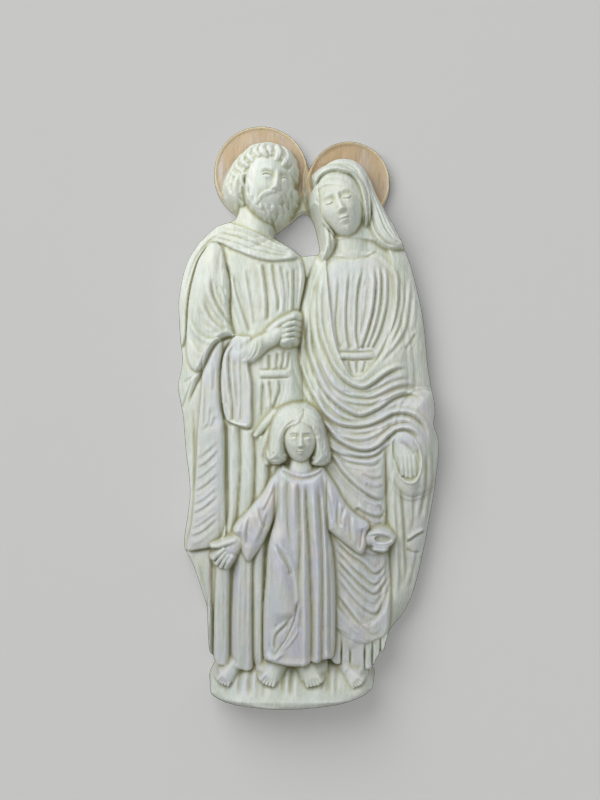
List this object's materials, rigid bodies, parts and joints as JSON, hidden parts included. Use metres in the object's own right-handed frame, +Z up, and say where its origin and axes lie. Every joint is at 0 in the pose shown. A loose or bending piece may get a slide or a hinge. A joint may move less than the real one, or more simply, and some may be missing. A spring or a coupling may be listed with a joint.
{
  "type": "holy family wall plaque",
  "caption": "Cast wall relief of a haloed father and mother with their child in front on a low mound, flat at the back.",
  "frame": {"origin": "on the flat back, in the middle of the area behind the chests that lies on the wall", "axes": "+Y into the wall, -Y out of it towards the viewer, +Z up, +X to the viewer's right"},
  "size_m": [0.159, 0.043, 0.3483],
  "materials": {
    "painted_plaster": "satin ivory paint with a pearl sheen, peach-gold halos"
  },
  "bodies": {
    "root": {"holy_family_relief": "painted_plaster"}
  },
  "joints": []
}
